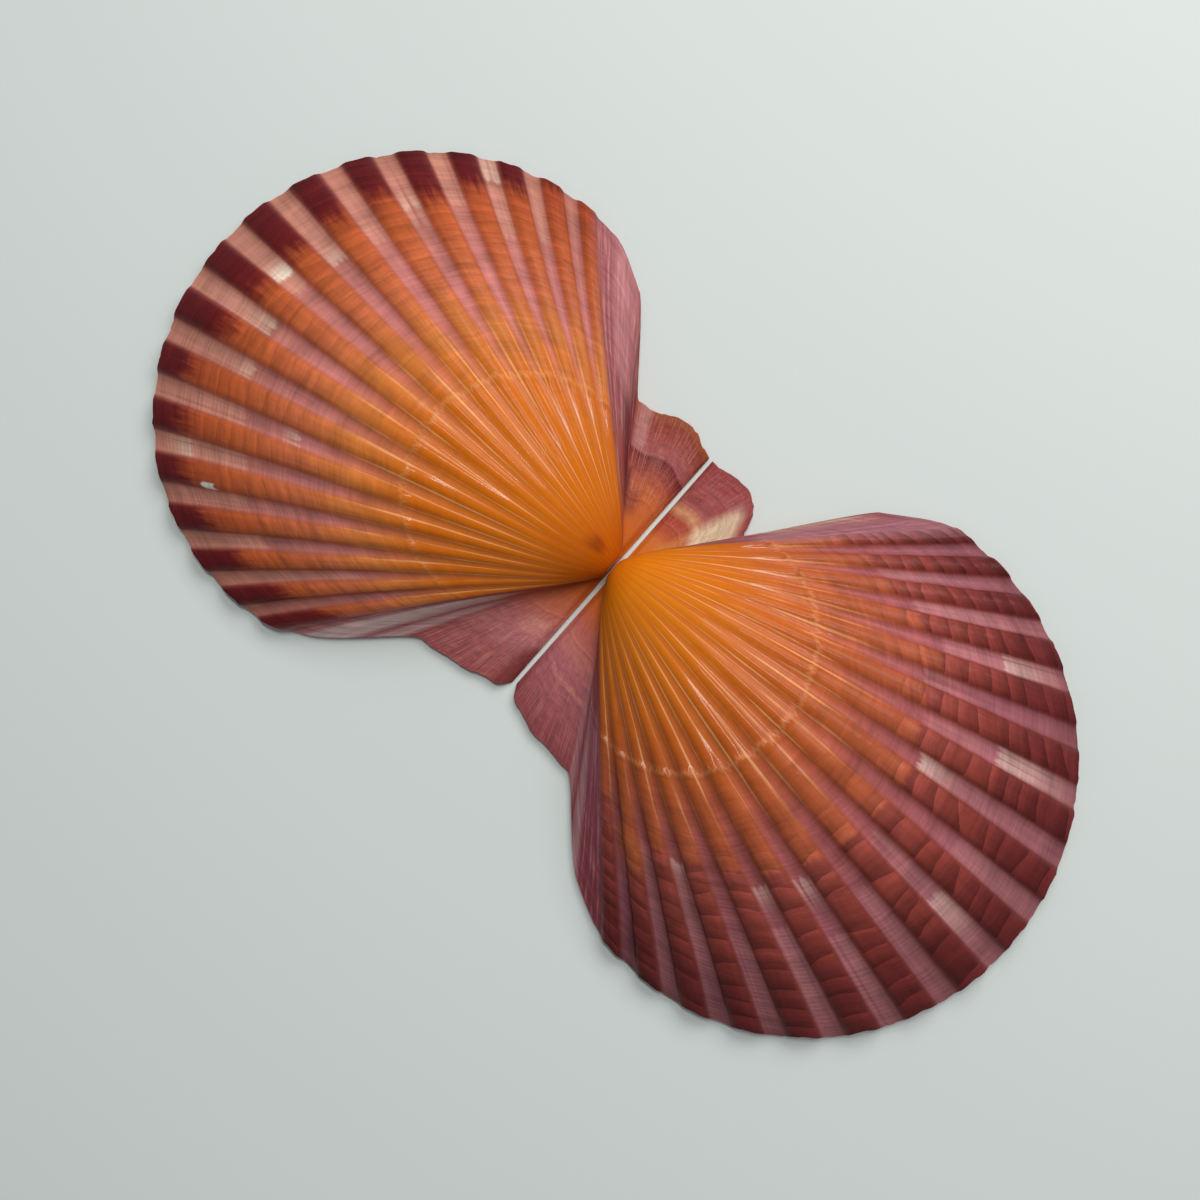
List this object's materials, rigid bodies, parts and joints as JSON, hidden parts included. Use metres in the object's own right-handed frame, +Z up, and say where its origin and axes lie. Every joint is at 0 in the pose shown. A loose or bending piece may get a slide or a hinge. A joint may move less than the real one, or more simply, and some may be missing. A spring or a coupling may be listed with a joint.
{
  "type": "bay scallop shell",
  "caption": "Both halves of a ribbed fan-shaped scallop shell, laid side by side hinge to hinge with their domed outer sides up.",
  "frame": {"origin": "on the surface the shell lies on, under the middle of the pair's bounding box", "axes": "+X along the hinge line towards the front ears, +Y from the left half to the right half, +Z up, out of the domed sides"},
  "size_m": [0.0572, 0.1116, 0.0118],
  "materials": {
    "right_valve": "satin shell, orange ribs and mauve grooves, maroon at the margin",
    "left_valve": "satin shell, orange near the umbo and red-brown towards the margin"
  },
  "bodies": {
    "root": {"right_valve": "right_valve", "left_valve": "left_valve"}
  },
  "joints": []
}
